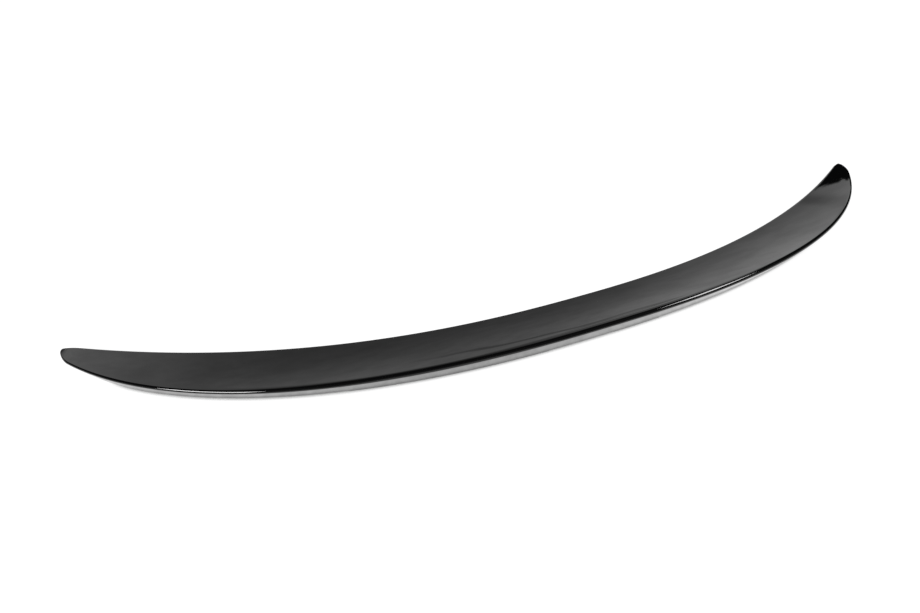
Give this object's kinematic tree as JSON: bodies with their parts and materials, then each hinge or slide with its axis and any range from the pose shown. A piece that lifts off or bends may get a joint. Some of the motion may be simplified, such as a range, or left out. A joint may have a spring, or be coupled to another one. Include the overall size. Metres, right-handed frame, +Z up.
{
  "type": "car rear spoiler",
  "caption": "Gloss black boot-lip spoiler: a crescent moulding with a hollow top face, a rolled lip, an undercut rear face and a ribbed open underside with foam tape.",
  "frame": {"origin": "middle of the outline in plan, on the plane that the rear tapes stand on", "axes": "+X across the car to the right as seen from behind, +Y forward, +Z up"},
  "size_m": [1.1562, 0.2042, 0.031],
  "materials": {
    "gloss_black": "high gloss moulded black, satin inside",
    "foam_tape": "closed-cell foam"
  },
  "bodies": {
    "root": {"spoiler_shell": "gloss_black", "front_tape_left": "foam_tape", "front_tape_right": "foam_tape", "rear_tape_outer_left": "foam_tape", "rear_tape_inner_left": "foam_tape", "rear_tape_inner_right": "foam_tape", "rear_tape_outer_right": "foam_tape"}
  },
  "joints": []
}
